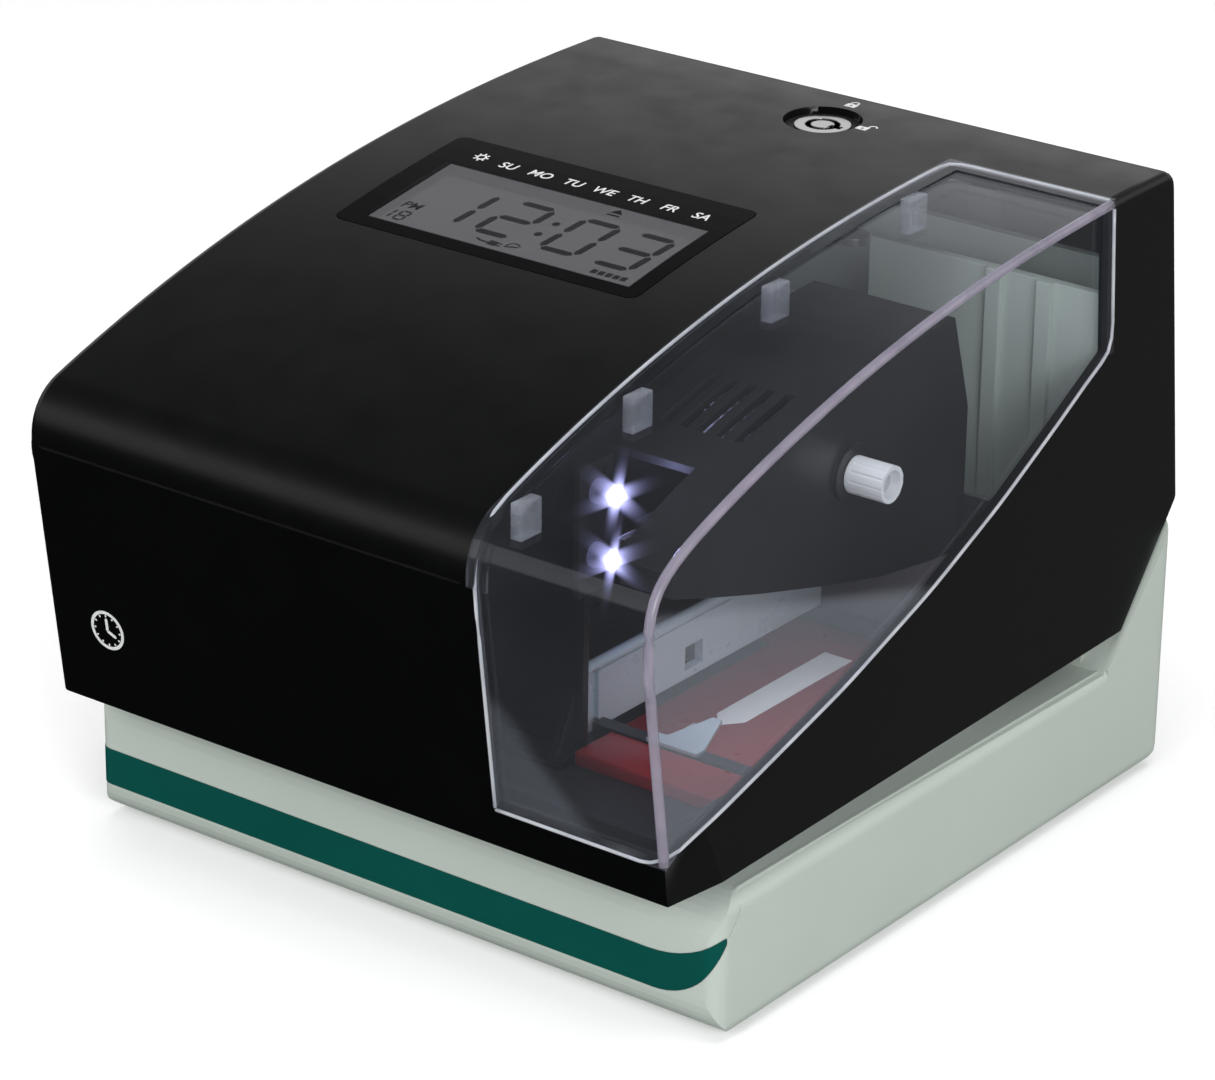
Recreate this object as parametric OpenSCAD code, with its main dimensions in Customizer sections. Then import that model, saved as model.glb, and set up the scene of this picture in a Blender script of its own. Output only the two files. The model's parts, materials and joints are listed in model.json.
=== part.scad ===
// Electronic punch time clock.
// A pale plastic base with a rear column carries an arm with the printing mechanism. A black cover
// with a clear corner window lifts off the arm once its round-key lock is turned.
// Origin: centre of the base footprint on the table. +X right along the front, +Y back, +Z up. mm.

/* [Base] */
// Half the width of the base across its flat sides
base_hw = 90.9; // [90:0.1:92]
// Height of the rim around the card surface at the front
rim_z = 35; // [34:0.5:36]
// Wall thickness of the plastic mouldings
wall = 2.5; // [2:0.1:2.8]
// Height of the green band
band_h = 9.2; // [8.4:0.2:10]

/* [Card surface] */
// Height of the top of the red card surface
table_z = 36; // [35:0.1:36.3]
// Depth of travel of the paper stop
stop_travel = 25; // [5:1:25]

/* [Cover] */
// Half the width of the cover at mid height
cover_hw = 87.5; // [87:0.1:88]
// Left edge of the clear window
win_x = 42; // [38:0.5:46]
// Rear edge of the clear window
win_y = 58.4; // [50:0.5:60]

/* [Printing unit] */
// Teeth on the ribbon feed gear
feed_teeth = 24; // [24:12:24]
// Teeth on the feed motor pinion
pinion_teeth = 12; // [12:12:12]
// Module of the feed gears
gear_m = 0.8; // [0.8:0.1:0.8]

/* [Keys and lock] */
// Radius of a setting key
key_r = 4; // [3:0.1:4.5]
// Radius of the lock plug
plug_r = 6.9; // [6.7:0.05:6.9]

/* [Hidden] */
sheet = 1.2;
air = 0.05;
arc_n = 8;
floor_z = 42.5;
floor_t = 2.5;
deck_z = floor_z + floor_t;
ledge_z = 31;
front_y = -96.9;
band_z = 10;
draft = 0.04628;
tilt = 8.66;
crease_z = 104.8;
back_y0 = 85.9;
neck_y0 = 61;
neck_y1 = 85;
neck_hw = 83;
neck_top = 128;
lock_x = -0.9;
lock_y = 67.1;
lock_top = 151.7;
knob_y = -21.4;
knob_z = 106.4;
rail_x = -4;
rod_lo_z = 60;
rod_hi_z = 78;
head_x = 16;
post_y = -74;
rear_y = 30;
pin_y = knob_y + gear_m * (feed_teeth + pinion_teeth) / 2;
pinch_y = knob_y - 14.3;
belt_x = -14;
belt_z = 69;
belt_r = 6;
belt_y0 = -62;
belt_y1 = 22;
lcd_c = [-22.5, -14, 136];
lever_y = -22;
lever_z = 48.6;
foot_x = 74;
foot_ys = [-76, 70];
plate_screw_x = 76;
plate_screw_ys = [-66, 56];
bracket_x = 55;
bracket_y = 50;
arm_screw_xs = [-64, -24, 24, 64];
arm_screw_z = 49.5;
board_xs = [-72, -42];
board_ys = [-54, 44];
stand_xs = [-40, 22];
stand_ys = [-24, 40];
key_at = [-28, -8, 12];
cable_x = -40;

// ---- shared shapes ----

function arc(cx, cy, r, a0, a1, n = arc_n) =
    [for (i = [0:n]) [cx + r * cos(a0 + (a1 - a0) * i / n), cy + r * sin(a0 + (a1 - a0) * i / n)]];

function round_rect(x0, y0, x1, y1, rf, rb) =
    concat(arc(x0 + rf, y0 + rf, rf, 180, 270), arc(x1 - rf, y0 + rf, rf, 270, 360),
           arc(x1 - rb, y1 - rb, rb, 0, 90), arc(x0 + rb, y1 - rb, rb, 90, 180));

// A side outline drawn in Y and Z, run along X from x0 to x1.
module along_x(pts, x0, x1) {
    translate([x0, 0, 0]) rotate([90, 0, 90]) linear_extrude(x1 - x0) polygon(pts);
}

// A front outline drawn in X and Z, run along Y from y0 to y1.
module along_y(pts, y0, y1) {
    translate([0, y1, 0]) rotate([90, 0, 0]) linear_extrude(y1 - y0) polygon(pts);
}

module box(x0, x1, y0, y1, z0, z1) {
    translate([x0, y0, z0]) cube([x1 - x0, y1 - y0, z1 - z0]);
}

module rod_x(x0, x1, y, z, r) {
    translate([x0, y, z]) rotate([0, 90, 0]) cylinder(h = x1 - x0, r = r, $fn = 48);
}

module rod_y(y0, y1, x, z, r) {
    translate([x, y1, z]) rotate([90, 0, 0]) cylinder(h = y1 - y0, r = r, $fn = 48);
}

module post(x, y, z0, z1, r) {
    translate([x, y, z0]) cylinder(h = z1 - z0, r = r, $fn = 48);
}

// ---- cover outline ----

function top_z(y) = 1.30e-6 * y * y * y - 9.305e-4 * y * y + 0.12534 * y + 147.07;
function top_s(y) = 3.90e-6 * y * y - 1.861e-3 * y + 0.12534;
function top_at(y, g) = let (s = top_s(y), q = sqrt(1 + s * s)) [y + g * s / q, top_z(y) - g / q];
function hw_at(z) = cover_hw + (100 - z) * draft;

function cover_upper(g) =
    concat([[-120.4 + g, crease_z]], arc(-107.34, 107.3, 13.06 - g, 180, 110.9),
           [for (i = [1:26]) top_at(-112 + 7.3 * i, g)], arc(85, 147.7, 4.1 - g, 90, -2.7, 5));

function cover_side(g, closed) =
    concat(closed ? [[-111.7, 40.2]] : [[-110.3 + g, 30]], cover_upper(g),
           closed ? [[92.6, 70.6], [66.8, 42.4]] : [[94.6 - g, 30]]);

// The solid bounded by the cover's outer surface, drawn in by g.
module cover_solid(g, closed) {
    difference() {
        intersection() {
            along_x(cover_side(g, closed), -100, 100);
            along_y([[g - hw_at(25), 25], [hw_at(25) - g, 25], [hw_at(160) - g, 160],
                     [g - hw_at(160), 160]], -130, 100);
        }
        for (s = [0, 1]) mirror([s, 0, 0]) translate([90.4, -94.3, 40.2]) rotate([0, 0, -8.5])
            rotate([0, 0.68, 0]) translate([-g, -40, -30]) cube([20, 80, 130]);
    }
}

// Side outline of the window, swept through the full width right of its left edge.
function window_edge(d) =
    [[win_y + d, 170], [-135, 170], [-135, 49.5 - d], [-113, 49.5 - d], [-111, 51 - d],
     [-108, 54.2 - d], [-81.1, 61.1 - d], [-48.8, 69.6 - d], [-15.3, 80.8 - d],
     [12.8, 92.4 - d], [35, 103.2 - d], [win_y + d, 115.2 - d]];

module window_zone(d) {
    along_x(window_edge(d), win_x - d, 100);
}

module lens_zone(d, z0 = 120) {
    translate([0, 0, z0]) linear_extrude(60)
        polygon(round_rect(-66.3 - d, -38 - d, 21.4 + d, 10 + d, 2.5, 2.5));
}

module top_cover() {
    color([0.05, 0.05, 0.055]) difference() {
        union() {
            difference() {
                cover_solid(0, true);
                cover_solid(wall, false);
            }
            intersection() {
                cover_solid(1, false);
                post(lock_x, lock_y, lock_top - 10, lock_top + 5, 13);
            }
        }
        window_zone(0.15);
        intersection() {
            lens_zone(0.2);
            difference() {
                cover_solid(-2, false);
                cover_solid(1.7, false);
            }
        }
        box(-62.5, 19, -36, 6, 130, 160);
        post(lock_x, lock_y, lock_top - 3.2, lock_top + 5, 9.7);
        post(lock_x, lock_y, lock_top - 20, lock_top + 5, 8.1);
        box(-86, win_x - 4, -122, -119.95, crease_z - 0.3, crease_z + 0.3);
    }
}

module window_cover() {
    color([0.8, 0.82, 0.88, 0.35]) union() {
        difference() {
            intersection() {
                cover_solid(-0.35, false);
                window_zone(0);
            }
            cover_solid(1.65, false);
        }
        difference() {
            intersection() {
                cover_solid(-1, false);
                union() {
                    box(win_x - 1.5, win_x + 4, -130, win_y + 1.5, crease_z, 170);
                    box(win_x - 1.5, 100, win_y - 4, win_y + 1.5, 115.2, 170);
                }
            }
            cover_solid(-0.05, false);
        }
        for (y = [-106, -67, -16, 39]) intersection() {
            box(win_x + 1, win_x + 4, y - 3.5, y + 3.5, top_z(y) - 11, 170);
            cover_solid(1, false);
        }
        intersection() {
            box(win_x + 8, win_x + 15, win_y - 4.5, win_y - 1.5, top_z(win_y) - 11, 170);
            cover_solid(1, false);
        }
    }
}

module display_lens() {
    color([0.1, 0.11, 0.11]) intersection() {
        lens_zone(0);
        difference() {
            cover_solid(-0.1, false);
            cover_solid(1.65, false);
        }
    }
}

// ---- lock ----

module lock_barrel() {
    color([0.08, 0.08, 0.085]) difference() {
        union() {
            post(lock_x, lock_y, lock_top - 3.1, lock_top - 1.7, 9.5);
            post(lock_x, lock_y, lock_top - 22, lock_top - 1.7, 8);
        }
        post(lock_x, lock_y, lock_top - 30, lock_top + 5, plug_r + air);
    }
}

module lock_nut() {
    color([0.75, 0.75, 0.77]) difference() {
        translate([lock_x, lock_y, lock_top - 13.6]) cylinder(h = 3.5, r = 11.5, $fn = 6);
        post(lock_x, lock_y, lock_top - 30, lock_top, 8.05);
    }
}

module lock_plug() {
    color([0.8, 0.8, 0.82]) difference() {
        union() {
            post(lock_x, lock_y, lock_top - 26, lock_top - 1.2, plug_r);
            translate([lock_x - 3, lock_y - 3, lock_top - 30]) cube([6, 6, 5]);
        }
        difference() {
            post(lock_x, lock_y, lock_top - 8, lock_top, 4.3);
            post(lock_x, lock_y, lock_top - 9, lock_top - 1.2, 2.85);
        }
        box(lock_x + 2, lock_x + 5.4, lock_y - 0.9, lock_y + 0.9, lock_top - 7, lock_top);
        post(lock_x, lock_y, lock_top - 31, lock_top - 24, 1.3);
    }
}

module lock_cam() {
    color([0.7, 0.71, 0.73]) translate([lock_x, lock_y, lock_top - 29]) difference() {
        union() {
            cylinder(h = 2, r = 6, $fn = 48);
            translate([0, -4, 0]) cube([10, 8, 2]);
            translate([10, 0, 0]) cylinder(h = 2, r = 4, $fn = 48);
        }
        translate([-3.05, -3.05, -1]) cube([6.1, 6.1, 4]);
    }
}

module cam_screw() {
    color([0.75, 0.75, 0.77]) difference() {
        union() {
            post(lock_x, lock_y, lock_top - 32, lock_top - 30, 4.4);
            post(lock_x, lock_y, lock_top - 30, lock_top - 25, 1.25);
        }
        box(lock_x - 3, lock_x + 3, lock_y - 0.4, lock_y + 0.4, lock_top - 33, lock_top - 31.2);
    }
}

module lock_catch() {
    color([0.65, 0.66, 0.68]) difference() {
        box(lock_x - 11, lock_x + 9, 76.2, neck_y1 - wall, 126.2, 127.8);
        post(lock_x - 8, 79.4, 120, 130, 1.2);
        post(lock_x + 6, 79.4, 120, 130, 1.2);
    }
}

// ---- base ----

function back_at(z) = back_y0 + 3.7 * z / 70;
function incline_z(y) = 41 + 1.087 * (y - 67.4);

module base_profile() {
    along_x(concat(arc(front_y + 10, 11, 10, 270, 180), arc(front_y + 10, rim_z - 10, 10, 180, 90),
                   [[60.2, 33.2], [89.3, incline_z(89.3)]], arc(79.3, 8, 7, 0, -90)), -100, 100);
}

module base_hollow() {
    along_x(concat([[-84.6, 3.9]], arc(front_y + 10, 11, 10 - wall, 280, 180),
                   [[front_y + wall, rim_z - 10], [-93.5, ledge_z - wall], [64, ledge_z - wall],
                    [67, incline_z(67) - 3.6], [86.8, incline_z(86.8) - 3.6], [83.6, 8],
                    [81, 3.9]]), wall - base_hw, base_hw - wall);
    box(-84.5, 84.5, -84.5, 80, 0, 5);
    difference() {
        box(4 - base_hw, base_hw - 4, -84, 58, ledge_z - 3, ledge_z);
        box(-54, 78, -64, 60, ledge_z - 4, ledge_z + 1);
    }
}

// Front outline of the green band: level along the front, sweeping up to a point at its right end.
module band_face(d) {
    along_y(concat([[-base_hw - 2, band_z - d]],
                   [for (a = [-90:6:-6]) [73.3 + (17.6 + d) * cos(a),
                                          27.2 + (27.2 - band_z + d) * sin(a)]],
                   [for (a = [42:-6:0]) [72 + (28 - d) * sin(a),
                                         band_z + band_h + 28 - (28 - d) * cos(a)]],
                   [[-base_hw - 2, band_z + band_h + d]]), front_y - 2, -86 + d);
}

// Material of the green band, or with d above 0 the recess it sits in.
module band_zone(d) {
    intersection() {
        difference() {
            linear_extrude(40)
                polygon(round_rect(-base_hw - 0.1, front_y - 0.1, base_hw + 0.1, 80, 4.1, 5));
            translate([0, 0, -1]) linear_extrude(42)
                polygon(round_rect(0.8 + d - base_hw, front_y + 0.8 + d, base_hw - 0.8 - d, 90,
                                   3.2, 5));
            box(base_hw - 3, 100, front_y + 3.1, 100, 0, 60);
        }
        band_face(d);
    }
}

module base_shell() {
    difference() {
        intersection() {
            base_profile();
            linear_extrude(80) polygon(round_rect(-base_hw, front_y, base_hw, 89, 4, 5));
            union() {
                along_y(round_rect(-base_hw, 1, base_hw, rim_z, 4, 4), -100, 100);
                box(-base_hw, base_hw, neck_y0, 100, 20, 80);
            }
        }
        base_hollow();
    }
    for (x = [-plate_screw_x, plate_screw_x]) for (y = plate_screw_ys)
        post(x, y, 3.7, ledge_z + 1, 4);
}

module base_housing() {
    color([0.77, 0.83, 0.79]) difference() {
        union() {
            difference() {
                base_shell();
                box(-50.1, 74.1, -60.1, 56.1, ledge_z, 60);
                band_zone(air);
            }
            box(-neck_hw, neck_hw, neck_y0, neck_y1, ledge_z - 4, neck_top);
            for (x = [52, 66]) box(x, x + 4, neck_y0 - 1.4, neck_y0 + 1, 56, neck_top);
            for (s = [0, 1]) mirror([s, 0, 0])
                along_x([[-90, 32], [-90, 34], [front_y + 10, rim_z + 0.5], [60.2, 33.7], [60.2, 32]],
                        base_hw - 3, base_hw - 2.4);
        }
        box(wall - neck_hw, neck_hw - wall, neck_y0 + wall, neck_y1 - wall, ledge_z - 6, 140);
        box(-14, 18, neck_y0 - 1, neck_y0 + wall + 1, 108, 140);
        rod_y(neck_y0 - 1, neck_y0 + wall + 1, cable_x, 56, 5);
        rod_y(78, 95, -30, 15, 5.2);
        for (x = [-plate_screw_x, plate_screw_x]) for (y = plate_screw_ys) post(x, y, 3, 22, 1.55);
        for (x = [-12, 10]) rod_y(80, 90, x, 100, 1.6);
        for (s = [0, 1]) mirror([s, 0, 0])
            along_x([[-93.2, 26.6], [-92.9, 26.4], [-89.6, 30], [-88.2, 34.5], [-88.6, 34.5],
                     [-90, 30.2]], base_hw - 0.3, base_hw + 1);
    }
}

module base_stripe() {
    color([0, 0.33, 0.28]) band_zone(0);
}

module bottom_plate() {
    color([0.6, 0.61, 0.62]) difference() {
        union() {
            box(-84, 84, -84, 79.5, 2.4, 3.6);
            box(-62, 62, -57, 57, 0.8, 2.5);
        }
        for (x = [-plate_screw_x, plate_screw_x]) for (y = plate_screw_ys) post(x, y, 0, 5, 1.75);
        for (x = [-bracket_x, bracket_x]) for (y = [-bracket_y, bracket_y]) post(x, y, 0, 5, 2.25);
        for (i = [0:7]) box(-32 + 8 * i, -28 + 8 * i, -78, -62, 0, 5);
    }
}

module rubber_feet() {
    color([0.06, 0.06, 0.06]) for (x = [-foot_x, foot_x]) for (y = foot_ys)
        translate([x, y, 0]) rotate_extrude($fn = 48)
            polygon([[0, 0], [6, 0], [7, 0.8], [7, 2.4], [0, 2.4]]);
}

module bottom_screws() {
    color([0.7, 0.7, 0.72]) for (x = [-plate_screw_x, plate_screw_x]) for (y = plate_screw_ys)
        difference() {
            union() {
                post(x, y, 0.9, 2.4, 3.1);
                post(x, y, 2.3, 16, 1.5);
            }
            for (a = [0, 90]) translate([x, y, 0.8]) rotate([0, 0, a]) translate([-2, -0.4, 0])
                cube([4, 0.8, 1]);
        }
}

module stop_slot(d) {
    box(58 - d, 62 + d, 36 - stop_travel - 7, 50, ledge_z - 1, table_z + 1);
}

module card_table() {
    color([0.55, 0.06, 0.07]) difference() {
        union() {
            box(-50, 74, -56, 56, ledge_z, table_z);
            along_x([[-60, ledge_z], [-56, ledge_z], [-56, table_z - 1], [-60, table_z - 3]], 6, 54);
        }
        box(11 - air, 21 + air, -54, 20, ledge_z + 1, table_z + 1);
        stop_slot(0);
        translate([38, 0, table_z - 0.8]) linear_extrude(2)
            polygon([[-4.1, 24.1], [4.1, 24.1], [4.1, -20], [0, -25.1], [-4.1, -20]]);
        for (i = [0:3]) box(-46 + 12 * i, -40 + 12 * i, -50, 50, table_z - 0.6, table_z + 1);
    }
}

module guide_strip() {
    color([0.75, 0.6, 0.6]) translate([38, 0, table_z - 0.8]) linear_extrude(0.8)
        polygon([[-4, 24], [4, 24], [4, -20], [0, -25], [-4, -20]]);
}

module platen() {
    color([0.08, 0.08, 0.08]) box(11, 21, -53.9, 19.9, ledge_z + 1, table_z);
}

module dc_jack() {
    color([0.06, 0.06, 0.06]) {
        difference() {
            union() {
                box(-34.5, -25.5, 71, 81, 9.6, 20.4);
                rod_y(81, 85.6, -30, 15, 5);
            }
            rod_y(74, 90, -30, 15, 2.85);
        }
        rod_y(73, 84, -30, 15, 1);
    }
}

module power_board() {
    color([0.05, 0.25, 0.12]) difference() {
        union() {
            box(-48, 10, 20, 78, 8, 9.6);
            for (x = [-42, 4]) for (y = [26, 72]) post(x, y, 3.6, 8, 2.6);
            post(-20, 34, 9.6, 24, 6);
            post(-4, 34, 9.6, 21, 4);
            box(-44, -36, 40, 58, 9.6, 18);
            box(-30, -12, 48, 66, 9.6, 12);
        }
        for (x = [-42, 4]) for (y = [26, 72]) post(x, y, 5, 12, 1);
    }
}

module backup_battery() {
    color([0.1, 0.3, 0.55]) {
        for (i = [0:2]) rod_x(-26, 18, -34 + 14.6 * i, 11, 7.25);
        box(-22, 14, -41, 2, 3.6, 5);
    }
}

module cable_harness() {
    color([0.08, 0.08, 0.09]) {
        post(cable_x, 72, 12, 56, 2.2);
        translate([cable_x, 72, 56]) sphere(r = 2.2, $fn = 32);
        rod_y(42, 72, cable_x, 56, 2.2);
        translate([cable_x, 42, 56]) sphere(r = 2.2, $fn = 32);
        box(cable_x - 5, cable_x + 3, 39, 44, 51.6, 59);
        box(cable_x - 4, cable_x + 4, 68, 76, 9.7, 15);
    }
}

// ---- arm and chassis ----

module arm_frame() {
    color([0.07, 0.07, 0.075]) difference() {
        union() {
            box(-80, 80, -105, neck_y0, floor_z, deck_z);
            for (x = [-80, 78]) box(x, x + 2, -105, neck_y0, deck_z - 1, 51);
            box(-80, 80, -105, -103, deck_z - 1, 51);
            for (x = [-80, 77]) along_x([[0, 44], [neck_y0, 44], [neck_y0, 92]], x, x + 3);
            box(-80, 80, neck_y0 - 3, neck_y0, 44, 54);
            for (x = board_xs) for (y = board_ys) post(x, y, deck_z - 1, 50, 3.5);
            box(31, 76, -64, -60, deck_z - 1, 49);
        }
        box(5, 76, -60, 28, 40, 50);
        box(-11.5, -3.5, -30, -10, 40, 50);
        for (x = arm_screw_xs) rod_y(neck_y0 - 4, neck_y0 + 1, x, arm_screw_z, 1.7);
        for (x = board_xs) for (y = board_ys) post(x, y, 46, 56, 1.3);
        rod_y(50, 65, cable_x, 56, 5);
        for (i = [0:9]) box(-74, -44, -94 + 3.4 * i, -92.4 + 3.4 * i, 40, 50);
    }
}

module arm_screws() {
    color([0.7, 0.7, 0.72]) for (x = arm_screw_xs) difference() {
        union() {
            rod_y(neck_y0 - 4.8, neck_y0 - 3, x, arm_screw_z, 3);
            rod_y(neck_y0 - 3.1, neck_y0, x, arm_screw_z, 1.6);
        }
        box(x - 1.8, x + 1.8, neck_y0 - 6, neck_y0 - 4.1, arm_screw_z - 0.4, arm_screw_z + 0.4);
    }
}

module rod_holes(r) {
    rod_y(post_y - 3, rear_y + 6, rail_x, rod_lo_z, 3 + r);
    rod_y(post_y - 3, rear_y + 6, rail_x, rod_hi_z, 2.5 + r);
}

module chassis_frame() {
    color([0.28, 0.28, 0.3]) difference() {
        union() {
            box(-24, -24 + sheet, post_y + 2, rear_y + sheet, deck_z, 124);
            box(-24, 76, rear_y, rear_y + sheet, deck_z, 84);
            box(-24, 12, rear_y, rear_y + sheet, 83, 124);
            box(-70, 4, -44, rear_y + sheet, 124, 124 + sheet);
            box(-70, -70 + sheet, -44, rear_y + sheet, 112, 124 + sheet);
            box(-34, -24 + sheet, post_y + 2, rear_y + sheet, deck_z, deck_z + sheet);
            box(-24, 76, rear_y, rear_y + 8, deck_z, deck_z + sheet);
        }
        rod_holes(air);
        rod_x(-26, -20, belt_y1, belt_z, 5.05);
        rod_x(-26, -20, belt_y0, belt_z, 1.55);
        for (y = [-40, -15, 12]) rod_x(-26, -20, y, 100, 7);
        for (y = [-58, -8]) post(-30, y, 40, 50, 1.7);
        for (i = [0:2]) box(40 + 10 * i, 46 + 10 * i, rear_y - 1, rear_y + 3, 70, 76);
        box(4.5, 24, rear_y - 1, rear_y + 3, 60, 82);
    }
}

module front_post() {
    color([0.05, 0.05, 0.055]) difference() {
        union() {
            box(-24, 35.8, post_y, post_y + 2, deck_z, 100);
            box(-24, 35.8, post_y - 8, post_y, deck_z, deck_z + 2);
            for (x = [-22, 32]) along_x([[post_y - 8, deck_z], [post_y, deck_z], [post_y, 62]],
                                         x, x + 2);
        }
        rod_holes(air);
        for (x = [-10, 20]) post(x, post_y - 4, 40, 50, 1.7);
    }
}

module shield_plate() {
    color([0.66, 0.68, 0.7]) difference() {
        union() {
            box(27.2, 27.2 + sheet, post_y + 2.1, rear_y - 0.1, deck_z, 61);
            along_x([[-60, 48], [-58, 46], [-8, 46], [-5, 50], [-5, 57], [-9, 60], [-60, 60]],
                    27.2, 29.6);
            rod_y(post_y + 2.1, rear_y - 0.1, 28.6, 61.4, 1.4);
        }
        box(26, 30, -27, -20, 48, 54);
    }
}

module edge_pointer() {
    color([0.8, 0.81, 0.83]) {
        translate([0, 0, 49]) linear_extrude(0.8)
            polygon([[46, -64], [60, -64], [60, -61], [54, -46], [51.5, -46], [49, -60], [46, -60]]);
        box(49, 49.8, -59.5, -50, 43, 49.1);
    }
}

module upper_guide_rod() {
    color([0.78, 0.79, 0.8]) rod_y(post_y - 2, rear_y + 4, rail_x, rod_hi_z, 2.5);
}

module lower_guide_rod() {
    color([0.78, 0.79, 0.8]) rod_y(post_y - 2, rear_y + 4, rail_x, rod_lo_z, 3);
}

module carriage_motor() {
    color([0.6, 0.6, 0.62]) difference() {
        union() {
            rod_x(-44, -24, belt_y1, belt_z, 12);
            rod_x(-24, -24 + sheet, belt_y1, belt_z, 5);
            along_x([[belt_y1 - 16, belt_z - 4], [belt_y1 + 5, belt_z - 13], [belt_y1 + 5, belt_z + 13],
                     [belt_y1 - 16, belt_z + 4]], -25.2, -24);
        }
        rod_x(-40, -20, belt_y1, belt_z, 1.56);
    }
}

module belt_pulley(x0, y, hub) {
    rod_x(x0, x0 + 1, y, belt_z, belt_r + 1.2);
    rod_x(x0 + 1, x0 + 6, y, belt_z, belt_r - 0.05);
    rod_x(x0 + 6, x0 + 7, y, belt_z, belt_r + 1.2);
    rod_x(x0 - hub, x0, y, belt_z, 1.5);
}

module motor_pulley() {
    color([0.85, 0.85, 0.83]) difference() {
        belt_pulley(belt_x - 3.5, belt_y1, 20);
        for (a = [0:60:300]) translate([belt_x + 5, belt_y1, belt_z]) rotate([a, 0, 0])
            translate([-3, 0, 3.6]) rotate([0, 90, 0]) cylinder(h = 8, r = 0.9, $fn = 24);
    }
}

module idler_pulley() {
    color([0.85, 0.85, 0.83]) difference() {
        belt_pulley(belt_x - 3.5, belt_y0, 9);
        for (a = [0:60:300]) translate([belt_x + 5, belt_y0, belt_z]) rotate([a, 0, 0])
            translate([-3, 0, 3.6]) rotate([0, 90, 0]) cylinder(h = 8, r = 0.9, $fn = 24);
    }
}

module belt_loop(r, w) {
    rod_x(belt_x - w, belt_x + w, belt_y0, belt_z, r);
    rod_x(belt_x - w, belt_x + w, belt_y1, belt_z, r);
    box(belt_x - w, belt_x + w, belt_y0, belt_y1, belt_z - r, belt_z + r);
}

module drive_belt() {
    color([0.1, 0.1, 0.1]) difference() {
        belt_loop(belt_r + 0.8, 2.4);
        belt_loop(belt_r, 3);
    }
}

// ---- ribbon and its drive ----

module cassette_shape(g, x0, x1) {
    difference() {
        along_x([[-70 + g, 46 + g], [-62 - g, 46 + g], [-62 - g, 84 + g], [21 + g, 84 + g],
                 [21 + g, 46 + g], [28 - g, 46 + g], [28 - g, 118 - g], [-66 + g, 118 - g],
                 [-70 + g, 113 - g]], x0, x1);
        children();
    }
}

module ribbon_cassette() {
    color([0.07, 0.07, 0.075]) difference() {
        cassette_shape(0, 6, 24.6) {
            cassette_shape(1.5, 7.5, 30);
        }
        rod_x(5, 9, knob_y, knob_z, 2.56);
        rod_x(5, 9, pinch_y, knob_z, 1.56);
        box(9, 23.5, -66.8, 25.2, 46.4, 47.9);
    }
}

module cassette_lid() {
    color([0.12, 0.12, 0.13]) difference() {
        union() {
            cassette_shape(0, 24.6, 25.8);
            for (y = [-50, -4]) box(25.8, 26.6, y, y + 14, 92, 110);
        }
        rod_x(24, 28, knob_y, knob_z, 2.56);
        rod_x(24, 28, pinch_y, knob_z, 1.56);
    }
}

module ink_ribbon() {
    color([0.03, 0.03, 0.035]) {
        box(9.6, 22.6, -66, 24.5, 46.9, 47.2);
        box(9.6, 22.6, -66.3, -66, 46.9, 90);
        box(9.6, 22.6, 24.5, 24.8, 46.9, 90);
    }
}

module drive_outline(g, x0, x1) {
    along_x([[-88 + g, 98.5 + g], [-72, 93.5 + g], [-55, 88.5 + g], [-30, 81.8 + g], [-8, 76.5 + g],
             [13, 73.4 + g], [26 - g, 72 + g], [26 - g, 108], [19 - g, 131.5 - g], [0, 130.6 - g],
             [-20, 127.3 - g], [-45, 121.5 - g], [-68, 114.5 - g], [-84, 108.2 - g],
             [-88 + g, 104 - g]], x0, x1);
}

module drive_housing() {
    color([0.09, 0.09, 0.1]) difference() {
        union() {
            drive_outline(0, 31, 70);
            rod_x(69.5, 71, knob_y, knob_z, 7);
        }
        drive_outline(2, 30, 68);
        box(30, 56, -90, -61, 80, 130);
        rod_x(66, 72, knob_y, knob_z, 2.56);
        for (i = [0:4]) box(38 + 5 * i, 40.4 + 5 * i, -50, -30, 110, 140);
    }
    color([0.09, 0.09, 0.1]) difference() {
        box(54, 56, -86.5, -61, 96.4, 110);
        box(53, 57, -90, -80, 108, 114);
        box(53, 57, -90, -84, 90, 99.2);
    }
}

module feed_motor() {
    color([0.6, 0.6, 0.62]) difference() {
        rod_x(45, 68, pin_y, knob_z, 10);
        rod_x(40, 60, pin_y, knob_z, 1.56);
    }
}

// Straight-sided teeth on a disc, a tooth or a gap facing +Y.
module gear(n, w, shift) {
    rp = gear_m * n / 2;
    rotate([90, 0, 90]) {
        cylinder(h = w, r = rp - 1.1 * gear_m, $fn = 48);
        for (i = [0:n - 1]) rotate([0, 0, (i + shift) * 360 / n]) linear_extrude(w)
            polygon([[rp - 1.5 * gear_m, -0.80 * gear_m], [rp, -0.70 * gear_m],
                     [rp + 0.85 * gear_m, -0.34 * gear_m], [rp + 0.85 * gear_m, 0.34 * gear_m],
                     [rp, 0.70 * gear_m], [rp - 1.5 * gear_m, 0.80 * gear_m]]);
    }
}

module feed_gear() {
    color([0.85, 0.84, 0.8]) difference() {
        translate([34, knob_y, knob_z]) gear(feed_teeth, 6, 0.5);
        rod_x(33, 41, knob_y, knob_z, 2.52);
        for (a = [0:60:300]) translate([0, knob_y, knob_z]) rotate([a, 0, 0])
            rod_x(33, 41, 0, 5.8, 1.5);
    }
}

module motor_pinion() {
    color([0.8, 0.65, 0.35]) {
        translate([34.5, pin_y, knob_z]) gear(pinion_teeth, 5, 0);
        rod_x(33, 59, pin_y, knob_z, 1.5);
    }
}

module take_up_shaft() {
    color([0.85, 0.85, 0.86]) {
        rod_x(6.2, 79, knob_y, knob_z, 2.5);
        rod_x(9, 23, knob_y, knob_z, 8.6);
    }
}

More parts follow.
